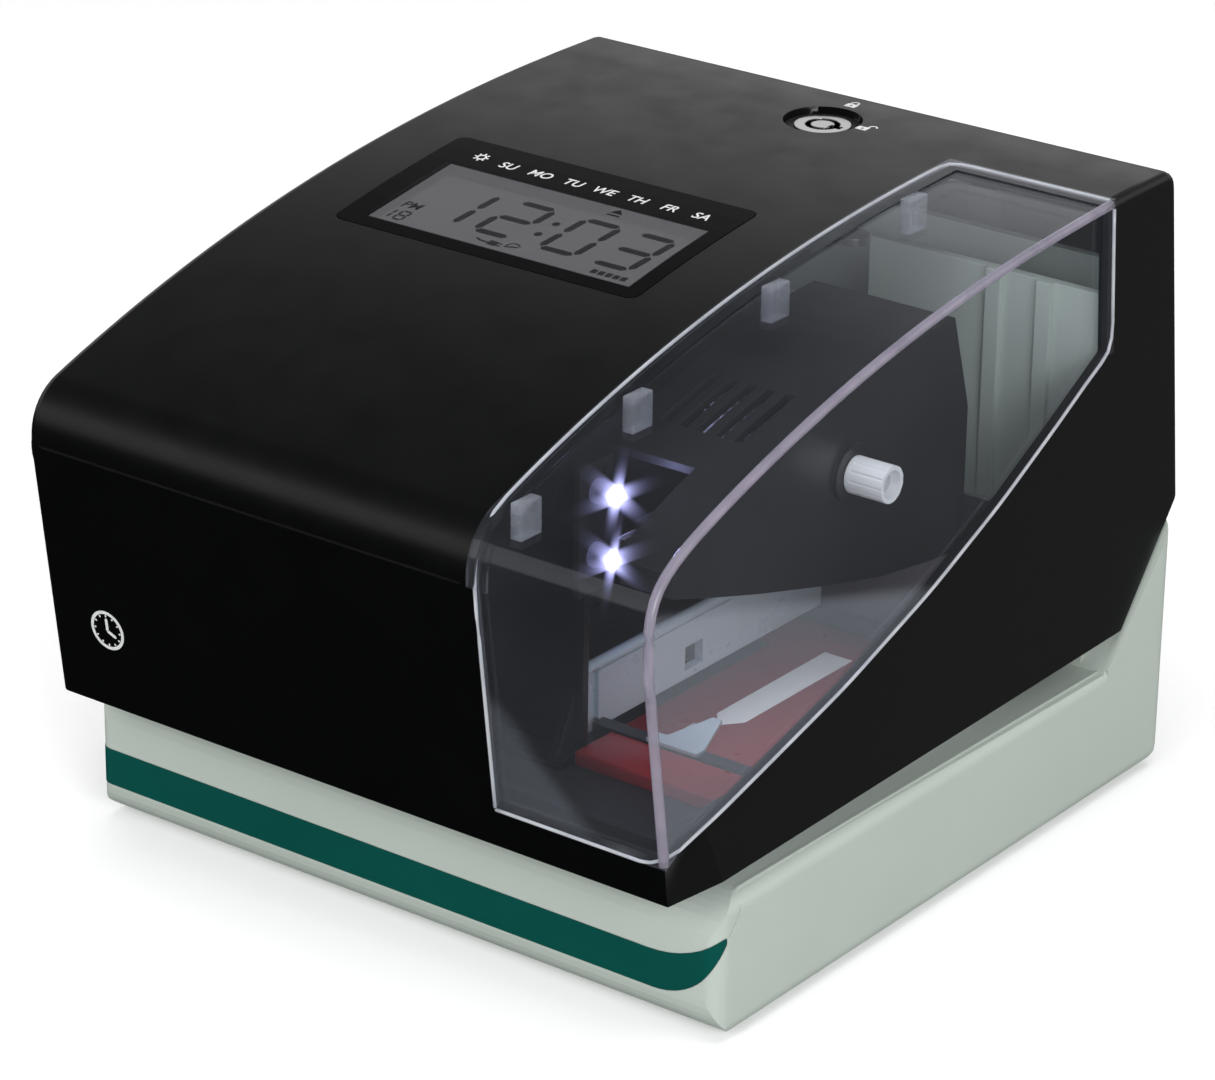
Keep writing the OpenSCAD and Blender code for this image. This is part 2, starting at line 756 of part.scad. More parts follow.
module ribbon_knob() {
    color([0.93, 0.93, 0.94]) difference() {
        rod_x(71.2, 81.2, knob_y, knob_z, 4.4);
        rod_x(70, 79.02, knob_y, knob_z, 2.52);
        rod_x(78.4, 82, knob_y, knob_z, 3.3);
        for (a = [0:30:330]) translate([0, knob_y, knob_z]) rotate([a, 0, 0])
            rod_x(72.4, 82, 0, 4.62, 0.4);
    }
}

module pinch_roller() {
    color([0.3, 0.3, 0.31]) {
        rod_x(6.2, 25.7, pinch_y, knob_z, 1.5);
        rod_x(9, 23, pinch_y, knob_z, 5.3);
    }
}

// ---- carriage ----

module carriage() {
    color([0.12, 0.12, 0.13]) difference() {
        union() {
            box(-9.6, 4.4, 0, 18, 53, 84);
            box(4, 10.5, 3, 15, 64, 80);
            box(-11.3, -9, 4, 14, 60, 78);
            box(2, 5.6, 6, 12, 82, 92);
        }
        rod_y(-1, 19, rail_x, rod_lo_z, 3.06);
        rod_y(-1, 19, rail_x, rod_hi_z, 2.56);
        box(-8, 3, 6, 12, 66, 72);
    }
}

module print_head() {
    color([0.2, 0.2, 0.21]) {
        box(10.5, 22, 4, 14, 58, 81);
        for (i = [0:5]) box(10.5, 23, 3, 15, 62 + 3 * i, 63.2 + 3 * i);
        translate([head_x, 9, 48.4]) cylinder(h = 9.7, r = 3.2, $fn = 48);
        box(14.5, 17.5, 5, 13, 52, 58.1);
    }
}

// ---- lamps, boards and display ----

module lamp_board() {
    color([0.05, 0.25, 0.12]) difference() {
        box(35.8, 37.4, -78, -66, 86, 117);
        for (z = [89, 114]) rod_x(35, 39, -69, z, 1.1);
    }
}

module lamps() {
    color([0.95, 0.95, 1]) for (p = [[-71.8, 110], [-72.5, 95]]) {
        rod_x(37.4, 38.4, p[0], p[1], 2.9);
        rod_x(38.3, 41.2, p[0], p[1], 2.5);
        translate([41.2, p[0], p[1]]) sphere(r = 2.5, $fn = 32);
    }
}

module sensor_switch() {
    color([0.1, 0.1, 0.1]) difference() {
        union() {
            box(-11.4, -10, -30, -14, deck_z, 51.8);
            box(-5, -3.6, -30, -14, deck_z, 51.8);
            box(-11.4, -3.6, -35, -30, deck_z, 51.8);
        }
        rod_x(-12, -3, lever_y, lever_z, 1.06);
    }
}

module sensor_lever() {
    color([0.85, 0.85, 0.8]) {
        rod_x(-11.3, -3.7, lever_y, lever_z, 1);
        rod_x(-9.3, -5.7, lever_y, lever_z, 2.6);
        along_x([[-22.9, 47], [-22.9, 38], [-22.3, 37], [-21.3, 37], [-20.9, 38], [-20.9, 47]],
                -8.7, -6.3);
    }
}

module main_board() {
    color([0.05, 0.28, 0.14]) difference() {
        box(-76.5, -36, -60, 50, 50, 51.6);
        for (x = board_xs) for (y = board_ys) post(x, y, 49, 53, 1.6);
    }
}

module board_parts() {
    color([0.09, 0.09, 0.1]) {
        box(-66, -50, -30, -14, 51.6, 54);
        box(-64, -54, -4, 12, 51.6, 54);
        for (i = [0:2]) post(-72.5, -8 + 9 * i, 51.6, 62, 3.4);
        box(-76, -69, -46, -22, 51.6, 60);
        box(-60, -46, 26, 34, 51.6, 58);
        for (i = [0:3]) box(-44, -39, -44 + 9 * i, -39 + 9 * i, 51.6, 53.4);
        post(-52, -46, 51.6, 56, 5);
    }
}

module tilted(y, z) {
    translate(lcd_c) rotate([tilt, 0, 0]) translate([0, y, z]) children();
}

module board_standoffs() {
    color([0.75, 0.6, 0.3]) for (x = stand_xs) for (y = stand_ys) tilted(y, 0)
        translate([x, 0, -6 - (y > 0 ? 8 : 0)]) cylinder(h = 4.4 + (y > 0 ? 8 : 0), r = 2.4, $fn = 6);
}

module display_board() {
    color([0.05, 0.28, 0.14]) tilted(0, -1.6) difference() {
        translate([-46, -28, 0]) cube([90, 74, 1.6]);
        for (x = stand_xs) for (y = stand_ys) translate([x, y, -1])
            cylinder(h = 4, r = 1.3, $fn = 32);
    }
}

module lcd_module() {
    color([0.42, 0.43, 0.42]) tilted(0, 0) {
        translate([-41, -22.6, 0.02]) cube([82, 44, 5.4]);
        translate([-39.5, -20.6, 5.35]) cube([80.5, 41.1, 1.2]);
    }
}

module key_body(i) {
    tilted(36, 0) translate([key_at[i], 0, 0]) children();
}

module key_switches() {
    color([0.15, 0.15, 0.16]) for (i = [0:2]) key_body(i) difference() {
        translate([-5.5, -5.5, 0]) cube([11, 11, 2.4]);
        translate([0, 0, 0.6]) cylinder(h = 3, r = 2.06, $fn = 48);
    }
}

module key_cap(i) {
    key_body(i) {
        translate([0, 0, 1.6]) cylinder(h = 2, r = 2, $fn = 48);
        translate([0, 0, 3.4]) cylinder(h = 1.4, r = key_r, $fn = 48);
    }
}

module select_key() {
    color([0.8, 0.8, 0.8]) key_cap(0);
}

module change_key() {
    color([0.8, 0.8, 0.8]) key_cap(1);
}

module set_key() {
    color([0.15, 0.45, 0.3]) key_cap(2);
}

module buzzer() {
    color([0.06, 0.06, 0.06]) tilted(36, 0) translate([32, 0, 0]) difference() {
        cylinder(h = 4, r = 6, $fn = 48);
        translate([0, 0, 2.5]) cylinder(h = 3, r = 1, $fn = 32);
    }
}

module paper_stop() {
    color([0.07, 0.07, 0.075]) {
        box(-44, 70, 36, 40, table_z + 0.2, floor_z - 0.4);
        box(58.5, 61.5, 34, 42, ledge_z + 0.3, table_z + 0.3);
        box(-44, 70, 40, 46, table_z + 0.2, table_z + 1.6);
    }
}

base_housing();
base_stripe();
bottom_plate();
rubber_feet();
bottom_screws();
card_table();
guide_strip();
platen();
dc_jack();
power_board();
backup_battery();
cable_harness();
lock_catch();
arm_frame();
arm_screws();
chassis_frame();
front_post();
shield_plate();
edge_pointer();
upper_guide_rod();
lower_guide_rod();
carriage_motor();
drive_belt();
ribbon_cassette();
cassette_lid();
ink_ribbon();
drive_housing();
feed_motor();
lamp_board();
lamps();
sensor_switch();
main_board();
board_parts();
board_standoffs();
display_board();
lcd_module();
key_switches();
buzzer();
top_cover();
window_cover();
display_lens();
lock_barrel();
lock_nut();
lock_plug();
lock_cam();
cam_screw();
ribbon_knob();
take_up_shaft();
feed_gear();
motor_pinion();
pinch_roller();
carriage();
print_head();
motor_pulley();
idler_pulley();
select_key();
change_key();
set_key();
paper_stop();
sensor_lever();
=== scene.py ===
"""Looks for a desk punch time clock: finishes, display markings, icons, wiring and a plain studio.

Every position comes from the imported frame. Lengths are in metres; MM turns a size in millimetres into metres.
"""

import json
import math

import bmesh
import bpy
from mathutils import Matrix, Vector
from mathutils.bvhtree import BVHTree


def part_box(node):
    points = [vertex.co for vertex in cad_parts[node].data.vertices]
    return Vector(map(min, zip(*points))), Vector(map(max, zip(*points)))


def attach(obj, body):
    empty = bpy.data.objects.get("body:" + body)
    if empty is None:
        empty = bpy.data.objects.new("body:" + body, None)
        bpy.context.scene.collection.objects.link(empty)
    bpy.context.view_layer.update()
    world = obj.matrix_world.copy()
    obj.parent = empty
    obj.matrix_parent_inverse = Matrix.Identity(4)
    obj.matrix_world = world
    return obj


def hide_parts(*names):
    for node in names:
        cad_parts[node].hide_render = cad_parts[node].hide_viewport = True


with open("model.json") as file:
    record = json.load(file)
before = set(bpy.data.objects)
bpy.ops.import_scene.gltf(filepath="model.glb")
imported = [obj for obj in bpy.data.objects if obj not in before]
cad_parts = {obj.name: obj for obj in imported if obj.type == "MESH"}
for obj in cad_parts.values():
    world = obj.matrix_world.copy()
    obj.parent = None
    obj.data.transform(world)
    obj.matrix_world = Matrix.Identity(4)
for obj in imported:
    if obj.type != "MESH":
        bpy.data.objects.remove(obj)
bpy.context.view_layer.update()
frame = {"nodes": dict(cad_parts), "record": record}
NODES = frame["nodes"]
MM = 0.001


# ---- material building ----

class Look:
    """One material and short calls that add nodes to it."""

    def __init__(self, name):
        self.material = bpy.data.materials.new(name)
        self.material.use_nodes = True
        self.tree = self.material.node_tree
        self.tree.nodes.clear()
        self.place = self.add("TexCoord").outputs["Object"]

    def add(self, kind, props=None, **inputs):
        node = self.tree.nodes.new("ShaderNode" + kind)
        for key, value in (props or {}).items():
            setattr(node, key, value)
        for key, value in inputs.items():
            socket = node.inputs[key.replace("_", " ")]
            if isinstance(value, bpy.types.NodeSocket):
                self.tree.links.new(value, socket)
            else:
                socket.default_value = value
        return node

    def noise(self, scale, detail=2.0, stretch=(1, 1, 1)):
        place = self.add("Mapping", Vector=self.place, Scale=stretch).outputs["Vector"]
        return self.add("TexNoise", Vector=place, Scale=scale, Detail=detail).outputs["Fac"]

    def spread(self, value, low, high, from_low=0.3, from_high=0.7):
        node = self.add("MapRange", Value=value, From_Min=from_low, From_Max=from_high,
                        To_Min=low, To_Max=high)
        return node.outputs["Result"]

    def mix(self, fac, first, second, blend="MIX"):
        node = self.add("MixRGB", {"blend_type": blend}, Fac=fac, Color1=first, Color2=second)
        return node.outputs["Color"]

    def math(self, operation, first, second=0.0):
        node = self.tree.nodes.new("ShaderNodeMath")
        node.operation = operation
        for socket, value in zip(node.inputs, (first, second)):
            if isinstance(value, bpy.types.NodeSocket):
                self.tree.links.new(value, socket)
            else:
                socket.default_value = value
        return node.outputs["Value"]

    def slant(self, straight, grazing):
        """Mirror strength of a clear sheet: small straight on and strong at a slant, from either side."""
        facing = self.add("LayerWeight", Blend=0.5).outputs["Facing"]
        return self.spread(self.math("POWER", facing, 4.0), straight, grazing, 0.0, 1.0)

    def inside(self, x0, x1, y0, y1, soft=0.0002):
        """1 inside a rectangle of object space seen from above, 0 outside, with a narrow edge."""
        split = self.add("SeparateXYZ", Vector=self.place)
        sides = [self.spread(split.outputs["X"], 0, 1, x0 - soft, x0 + soft),
                 self.spread(split.outputs["X"], 1, 0, x1 - soft, x1 + soft),
                 self.spread(split.outputs["Y"], 0, 1, y0 - soft, y0 + soft),
                 self.spread(split.outputs["Y"], 1, 0, y1 - soft, y1 + soft)]
        value = sides[0]
        for other in sides[1:]:
            value = self.math("MULTIPLY", value, other)
        return value

    def blend(self, fac, first, second):
        """A mix of two shaders: the first at 0, the second at 1."""
        node = self.add("MixShader", Fac=fac)
        self.tree.links.new(first, node.inputs[1])
        self.tree.links.new(second, node.inputs[2])
        return node.outputs["Shader"]

    def output(self, shader):
        self.add("OutputMaterial", Surface=shader)
        return self.material


def rgba(colour, factor=1.0):
    return tuple(min(1.0, c * factor) for c in colour[:3]) + (1.0,)


def finish(name, colour, rough, metal=0.0, specular=0.5, grain=2500.0, depth=0.01, mottle=0.06,
           edge=0.25, radius=0.35, stretch=(1, 1, 1), coat=0.0, sheen=0.0):
    """A moulded, painted or machined surface: mottled colour, uneven gloss, fine grain, worn rounded edges."""
    look = Look(name)
    rounded = look.add("Bevel", {"samples": 4}, Radius=radius * MM).outputs["Normal"]
    flat = look.add("NewGeometry").outputs["Normal"]
    facing = look.tree.nodes.new("ShaderNodeVectorMath")
    facing.operation = "DOT_PRODUCT"
    look.tree.links.new(rounded, facing.inputs[0])
    look.tree.links.new(flat, facing.inputs[1])
    rim = look.spread(facing.outputs["Value"], 1.0, 0.0, 0.80, 0.985)
    wear = look.math("MULTIPLY", rim, look.spread(look.noise(260.0, 3.0), 0.0, edge))
    cloud = look.noise(38.0, 3.0, stretch)
    body = look.mix(look.spread(cloud, 0.0, 1.0), rgba(colour, 1 - mottle), rgba(colour, 1 + mottle))
    worn = look.mix(wear, body, rgba([c * 1.6 + 0.05 for c in colour]))
    smudge = look.spread(look.noise(95.0, 4.0), rough * 0.88, min(1.0, rough * 1.12))
    bump = look.add("Bump", Strength=0.5, Distance=depth * MM, Height=look.noise(grain, 2.0, stretch),
                    Normal=rounded)
    shader = look.add("BsdfPrincipled", Base_Color=worn, Roughness=smudge, Metallic=metal,
                      Specular_IOR_Level=specular, Coat_Weight=coat, Sheen_Weight=sheen,
                      Normal=bump.outputs["Normal"])
    return look.output(shader.outputs["BSDF"])


def facing_along(look, axis):
    """1 where the surface looks along an axis, either way, and 0 elsewhere."""
    turned = look.add("SeparateXYZ", Vector=look.add("NewGeometry").outputs["Normal"]).outputs[axis]
    return look.spread(look.math("ABSOLUTE", turned), 0.0, 1.0, 0.75, 0.96)


def front_veil(look):
    """A pale reflection over the lower left of the front pane, with a slanting edge."""
    place = look.add("SeparateXYZ", Vector=look.place)
    slanting = look.math("ADD", place.outputs["X"], place.outputs["Z"])
    slanting = look.math("ADD", slanting, look.spread(look.noise(30.0, 2.0), -0.002, 0.002))
    return look.math("MULTIPLY", facing_along(look, "Y"), look.spread(slanting, 0.052, 0.006, 0.1185, 0.1215))


def side_veil(look):
    """A pale reflection over the lower part of the side pane, with an edge that falls towards the rear."""
    place = look.add("SeparateXYZ", Vector=look.place)
    falling = look.math("ADD", place.outputs["Z"], look.math("MULTIPLY", place.outputs["Y"], 0.27))
    return look.math("MULTIPLY", facing_along(look, "X"), look.spread(falling, 0.115, 0.0, 0.0755, 0.0785))


def clear_sheet(name, tint, haze, gloss):
    """Clear moulded plastic: mostly see-through, with a faint haze, pale reflections painted on as a diffuse
    layer, and a reflection that grows at a slant.
    """
    look = Look(name)
    through = look.add("BsdfTransparent", Color=rgba(tint)).outputs["BSDF"]
    bump = look.add("Bump", Strength=0.3, Distance=0.02 * MM, Height=look.noise(60.0, 2.0))
    shine = look.add("BsdfGlossy", Color=(0.95, 0.96, 1.0, 1.0), Roughness=gloss,
                     Normal=bump.outputs["Normal"]).outputs["BSDF"]
    # pale diffuse layer: partly the faint haze of the plastic, partly painted reflection
    haze_and_painted_reflection = look.add("BsdfDiffuse", Color=(0.52, 0.56, 0.64, 1.0)).outputs["BSDF"]
    # the veils are painted reflections laid over the panes through this diffuse layer
    veil = look.math("ADD", front_veil(look), side_veil(look))
    cover = look.math("ADD", look.spread(look.noise(14.0, 3.0), haze * 0.6, haze * 1.5), veil)
    return look.output(look.blend(look.slant(0.035, 0.62), look.blend(cover, through, haze_and_painted_reflection), shine))


def lit_edge(name, colour, cover):
    """The rounded edges of clear plastic, drawn as pale lines whose colour is a painted highlight for the light
    they gather.
    """
    look = Look(name)
    cloud = look.spread(look.noise(90.0, 2.0), cover * 0.75, min(1.0, cover * 1.2))
    pale = look.add("BsdfPrincipled", Base_Color=rgba(colour), Roughness=0.12,
                    Coat_Weight=0.6).outputs["BSDF"]
    through = look.add("BsdfTransparent", Color=(0.95, 0.95, 1.0, 1.0)).outputs["BSDF"]
    return look.output(look.blend(cloud, through, pale))


def printed_lens(name, opening):
    """Smoked lens: clear over the display opening, with a smooth front printed black round it.

    The print is on the front only and lets light through to the display, so its edge casts no shadow there.
    """
    look = Look(name)
    bump = look.add("Bump", Strength=0.3, Distance=0.01 * MM, Height=look.noise(70.0, 2.0))
    shine = look.add("BsdfGlossy", Color=(0.9, 0.9, 0.92, 1.0), Roughness=0.09,
                     Normal=bump.outputs["Normal"]).outputs["BSDF"]
    tone = look.mix(look.noise(300.0, 2.0), (0.0045, 0.0045, 0.005, 1), (0.0065, 0.0065, 0.007, 1))
    border = look.add("BsdfDiffuse", Color=tone).outputs["BSDF"]
    through = look.add("BsdfTransparent", Color=(0.90, 0.90, 0.91, 1.0)).outputs["BSDF"]
    clear = look.math("MAXIMUM", look.inside(*opening), look.add("NewGeometry").outputs["Backfacing"])
    path = look.add("LightPath")
    for ray in ("Is Shadow Ray", "Is Diffuse Ray"):
        clear = look.math("MAXIMUM", clear, path.outputs[ray])
    return look.output(look.blend(look.slant(0.012, 0.19), look.blend(clear, border, through), shine))


def ink(name, colour, rough=0.5):
    """A thin printed layer with slightly uneven coverage."""
    look = Look(name)
    tone = look.mix(look.spread(look.noise(700.0, 3.0), 0.0, 1.0), rgba(colour, 0.86), rgba(colour, 1.0))
    shader = look.add("BsdfPrincipled", Base_Color=tone, Roughness=rough)
    return look.output(shader.outputs["BSDF"])


def glow(name, colour, strength, tip_x):
    """A small lamp: a faintly lit milky body with its brightest point at the tip."""
    look = Look(name)
    along = look.add("SeparateXYZ", Vector=look.place).outputs["X"]
    tip = look.spread(along, 0.12, strength, tip_x - 0.0016, tip_x - 0.0004)
    body = look.mix(look.noise(900.0, 1.0), rgba((0.03, 0.03, 0.06)), rgba((0.06, 0.06, 0.10)))
    shader = look.add("BsdfPrincipled", Base_Color=body, Roughness=0.12, Emission_Color=rgba(colour),
                      Emission_Strength=tip)
    return look.output(shader.outputs["BSDF"])


LOOKS = {
    "pale_plastic": finish("pale_plastic", (0.555, 0.625, 0.57), 0.40, grain=3200, depth=0.006, mottle=0.015),
    "green_band": finish("green_band", (0.0, 0.082, 0.067), 0.48, specular=0.1, grain=3000, depth=0.006),
    "black_plastic": finish("black_plastic", (0.0018, 0.0020, 0.0023), 0.32, grain=4200, depth=0.010),
    "dark_plastic": finish("dark_plastic", (0.016, 0.016, 0.018), 0.40, grain=2600),
    "red_plastic": finish("red_plastic", (0.23, 0.012, 0.016), 0.30),
    "milky_plastic": finish("milky_plastic", (0.92, 0.93, 0.94), 0.30, grain=1800, mottle=0.02),
    "steel": finish("steel", (0.60, 0.61, 0.63), 0.34, metal=1.0, grain=900, depth=0.004,
                    stretch=(1, 0.03, 1)),
    "dark_steel": finish("dark_steel", (0.055, 0.056, 0.062), 0.42, grain=1600),
    "ground_steel": finish("ground_steel", (0.74, 0.74, 0.75), 0.16, metal=1.0, grain=1500, depth=0.003),
    "brass": finish("brass", (0.78, 0.56, 0.24), 0.26, metal=1.0, grain=1300, depth=0.004),
    "rubber": finish("rubber", (0.012, 0.012, 0.012), 0.72, grain=1500, depth=0.03),
    "circuit_board": finish("circuit_board", (0.010, 0.085, 0.035), 0.32, grain=700, depth=0.02, mottle=0.2),
    "component": finish("component", (0.014, 0.014, 0.015), 0.50, grain=2400),
    "battery_wrap": finish("battery_wrap", (0.02, 0.10, 0.28), 0.22, grain=1200),
    "lcd_glass": finish("lcd_glass", (0.165, 0.165, 0.170), 0.16, grain=600, depth=0.001, mottle=0.03),
    "ink_fabric": finish("ink_fabric", (0.008, 0.008, 0.010), 0.85, grain=5000, depth=0.05, sheen=0.3),
    "clear_plastic": clear_sheet("clear_plastic", (0.95, 0.96, 0.98), 0.014, 0.05),
    "smoked_plastic": printed_lens("smoked_plastic", (-0.060, 0.017, -0.034, -0.004)),
    "lamp": glow("lamp", (0.52, 0.52, 1.0), 40.0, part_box("lamps")[1].x),
}
WHITE_INK = ink("white_ink", (0.80, 0.81, 0.81))
DARK_INK = ink("dark_ink", (0.010, 0.010, 0.012), 0.35)
# painted highlights: pale colours that stand for the light caught by the window's rounded edges and clips
PALE_EDGE = lit_edge("pale_edge", (0.66, 0.68, 0.72), 0.75)
SOFT_EDGE = lit_edge("soft_edge", (0.40, 0.36, 0.44), 0.62)
CLIP_EDGE = lit_edge("clip_edge", (0.58, 0.60, 0.64), 0.34)
SLOT_OF = {part["node"]: part["material_slot"] for part in frame["record"]["subparts"]}


def dress(piece, *materials):
    piece.data.materials.clear()
    for material in materials:
        piece.data.materials.append(material)


for node_name, node_object in NODES.items():
    dress(node_object, LOOKS[SLOT_OF[node_name]])
dress(NODES["lamp_board"], LOOKS["component"])
PALE_ZINC = finish("pale_zinc", (0.43, 0.50, 0.54), 0.30, metal=0.25, grain=900, depth=0.004,
                   stretch=(1, 0.03, 1))
dress(NODES["shield_plate"], PALE_ZINC)
dress(NODES["edge_pointer"], PALE_ZINC)


# ---- thin printed marks ----

UP = Vector((0, 0, 1))
ABOVE, AHEAD = 0.2, -0.3     # places clear of the object, from which points are dropped on it
FILM_SINK = 0.03             # how deep a printed film reaches into its surface, in mm


def surface_of(node):
    mesh = NODES[node].data.copy()
    mesh.transform(NODES[node].matrix_world)
    tree = BVHTree.FromPolygons([v.co.copy() for v in mesh.vertices], [p.vertices[:] for p in mesh.polygons])
    bpy.data.meshes.remove(mesh)
    return tree


def drop(tree, start, toward):
    """Where a point meets a surface along a direction, or failing that the nearest place on it."""
    hit = tree.ray_cast(start, toward)[0]
    return hit if hit is not None else tree.find_nearest(start)[0]


def new_piece(name, verts, faces, material, body):
    mesh = bpy.data.meshes.new(name)
    mesh.from_pydata(verts, [], faces)
    mesh.validate()
    piece = bpy.data.objects.new(name, mesh)
    bpy.context.scene.collection.objects.link(piece)
    mesh.materials.append(material)
    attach(piece, body)
    return piece


def printed(name, outlines, tree, body, material, toward=(0, 0, -1), lift=0.05):
    """Each outline, in mm seen from the start side, becomes a closed film lying on the surface below it."""
    toward = Vector(toward)
    verts, faces = [], []
    for outline in outlines:
        top, base = [], []
        for x, y in outline:
            start = Vector((x * MM, y * MM, ABOVE)) if toward.z else Vector((x * MM, AHEAD, y * MM))
            hit = drop(tree, start, toward)
            top.append(hit - toward * lift * MM)
            base.append(hit + toward * FILM_SINK * MM)
        first, count = len(verts), len(outline)
        verts += top + base
        faces.append([first + i for i in range(count)])
        faces.append([first + count + i for i in reversed(range(count))])
        for i in range(count):
            j = (i + 1) % count
            faces.append([first + j, first + i, first + count + i, first + count + j])
    return new_piece(name, verts, faces, material, body)


def bar(x0, y0, x1, y1, half):
    """A stroke of the given half width between two points, with pointed ends."""
    along = Vector((x1 - x0, y1 - y0)).normalized()
    side = Vector((-along.y, along.x)) * half
    a, b = Vector((x0, y0)), Vector((x1, y1))
    tip = along * half
    return [tuple(p) for p in (a, a + tip - side, b - tip - side, b, b - tip + side, a + tip + side)]


def ring(cx, cy, outer, inner, start=0, end=360, steps=24):
    """A ring or part of one, as a run of small quadrilaterals."""
    parts = []
    for i in range(steps):
        a0, a1 = (math.radians(start + (end - start) * (i + k) / steps) for k in (0, 1))
        parts.append([(cx + r * math.cos(a), cy + r * math.sin(a))
                      for r, a in ((inner, a0), (outer, a0), (outer, a1), (inner, a1))])
    return parts


def disc(cx, cy, radius, steps=20):
    return [(cx + radius * math.cos(2 * math.pi * i / steps), cy + radius * math.sin(2 * math.pi * i / steps))
            for i in range(steps)]


SEGMENTS = {"0": "abcdef", "1": "bc", "2": "abged", "3": "abgcd", "8": "abcdefg"}


def digit(figure, x, y, width, height, half, slope=0.09):
    """A figure made of seven slanted strokes, its lower left corner at x, y."""
    middle = height / 2
    gap = half * 0.35
    ends = {"a": (0, height, width, height), "b": (width, height, width, middle),
            "c": (width, middle, width, 0), "d": (0, 0, width, 0), "e": (0, middle, 0, 0),
            "f": (0, height, 0, middle), "g": (0, middle, width, middle)}
    strokes = []
    for key in SEGMENTS[figure]:
        x0, y0, x1, y1 = ends[key]
        shape = bar(x0, y0, x1, y1, half)
        mid_x, mid_y = (x0 + x1) / 2, (y0 + y1) / 2
        shrink = 1 - 2 * gap / max(abs(x1 - x0), abs(y1 - y0))
        strokes.append([(x + mid_x + (px - mid_x) * shrink + slope * (mid_y + (py - mid_y) * shrink),
                         y + mid_y + (py - mid_y) * shrink) for px, py in shape])
    return strokes


def lettering(name, words, size, tree, body, material, slope=0.15):
    """Short generic legends in the built-in face, as closed films on the surface."""
    for index, (word, x, y) in enumerate(words):
        curve = bpy.data.curves.new("%s_%d" % (name, index), "FONT")
        curve.body = word
        curve.size = size * MM
        curve.shear = slope
        curve.offset = 0.008 * size * MM
        curve.extrude = 0.04 * MM
        curve.align_x = "CENTER"
        flat = bpy.data.objects.new("flat", curve)
        bpy.context.scene.collection.objects.link(flat)
        mesh = bpy.data.meshes.new_from_object(flat)
        bpy.data.objects.remove(flat)
        for vertex in mesh.vertices:
            start = Vector((vertex.co.x + x * MM, vertex.co.y + y * MM, ABOVE))
            hit = drop(tree, start, -UP)
            vertex.co = hit + UP * (0.05 * MM if vertex.co.z > 0 else -FILM_SINK * MM)
        weld(mesh)
        piece = bpy.data.objects.new("%s_%s" % (name, word.lower()), mesh)
        bpy.context.scene.collection.objects.link(piece)
        dress(piece, material)
        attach(piece, body)


def weld(mesh, distance=1e-7):
    shape = bmesh.new()
    shape.from_mesh(mesh)
    bmesh.ops.remove_doubles(shape, verts=shape.verts, dist=distance)
    bmesh.ops.recalc_face_normals(shape, faces=shape.faces)
    shape.to_mesh(mesh)
    shape.free()


COVER_HALF, COVER_DRAFT = 0.0875, 0.04628        # half width at 0.1 m up, and how fast the sides spread below
WINDOW_LEFT, WINDOW_REAR = 0.0415, 0.0588
GROOVE_END, GROOVE_LOW, GROOVE_HIGH = -0.086, 0.104, 0.1056
COVER_ROUND = 0.0021


def shorten_groove(shape):
    """Draws in the left end of the fine groove on the front, so it stops short of the rounded corner."""
    for vertex in shape.verts:
        place = vertex.co
        if abs(place.x - GROOVE_END) < 2e-4 and place.y < -0.119 and GROOVE_LOW < place.z < GROOVE_HIGH:
            place.x += 0.0024


def is_side_edge(edge):
    """Whether an edge lies between a side of the cover and its top or front, away from the window."""
    if len(edge.link_faces) != 2:
        return False
    middle = (edge.verts[0].co + edge.verts[1].co) / 2
    normals = sorted((face.normal for face in edge.link_faces), key=lambda n: abs(n.x))
    across = abs(normals[0].x) < 0.08 and abs(normals[1].x) > 0.9
    outer_x = COVER_HALF + (0.1 - middle.z) * COVER_DRAFT
    outer_x -= 0.0008 if middle.y > -0.094 else 0.0019
    at_window = middle.x > WINDOW_LEFT and middle.y < WINDOW_REAR
    return across and min(n.z for n in normals) > -0.3 and abs(middle.x) > outer_x and not at_window


def rounded_cover():
    """The black shell with its long side edges and upright corners rounded over, in place of the CAD one."""
    mesh = NODES["top_cover"].data.copy()
    shape = bmesh.new()
    shape.from_mesh(mesh)
    bmesh.ops.remove_doubles(shape, verts=shape.verts, dist=1e-6)
    bmesh.ops.dissolve_limit(shape, angle_limit=math.radians(0.6), verts=shape.verts, edges=shape.edges)
    bmesh.ops.recalc_face_normals(shape, faces=shape.faces)
    shorten_groove(shape)
    side_edges = [edge for edge in shape.edges if is_side_edge(edge)]
    bmesh.ops.bevel(shape, geom=side_edges, offset=COVER_ROUND, offset_type="OFFSET", segments=4,
                    profile=0.5, affect="EDGES", clamp_overlap=False)
    bmesh.ops.recalc_face_normals(shape, faces=shape.faces)
    shape.to_mesh(mesh)
    shape.free()
    piece = bpy.data.objects.new("cover_shell", mesh)
    bpy.context.scene.collection.objects.link(piece)
    dress(piece, LOOKS["black_plastic"])
    mesh.shade_smooth()
    mesh.set_sharp_from_angle(angle=math.radians(24))
    even = piece.modifiers.new("even_shading", "WEIGHTED_NORMAL")
    even.keep_sharp = True
    even.weight = 80
    even_shine(piece)
    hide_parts("top_cover")
    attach(piece, "cover")


PLAIN_X = -0.078                             # where the top runs from front to rear without an opening
EVEN_FRONT, EVEN_REAR = -0.0995, 0.0905


def top_height(y):
    return top_point(COVER, PLAIN_X, y).z


def top_lean(y):
    """Normal of the top at one depth, halfway between the facets before and behind it."""
    slopes = [(top_height(side + 0.0002) - top_height(side - 0.0002)) / 0.0004
              for side in (min(y + 0.0012, 0.0900), min(y - 0.0012, 0.0900))]
    return Vector((0, -(slopes[0] + slopes[1]) / 2, 1)).normalized()


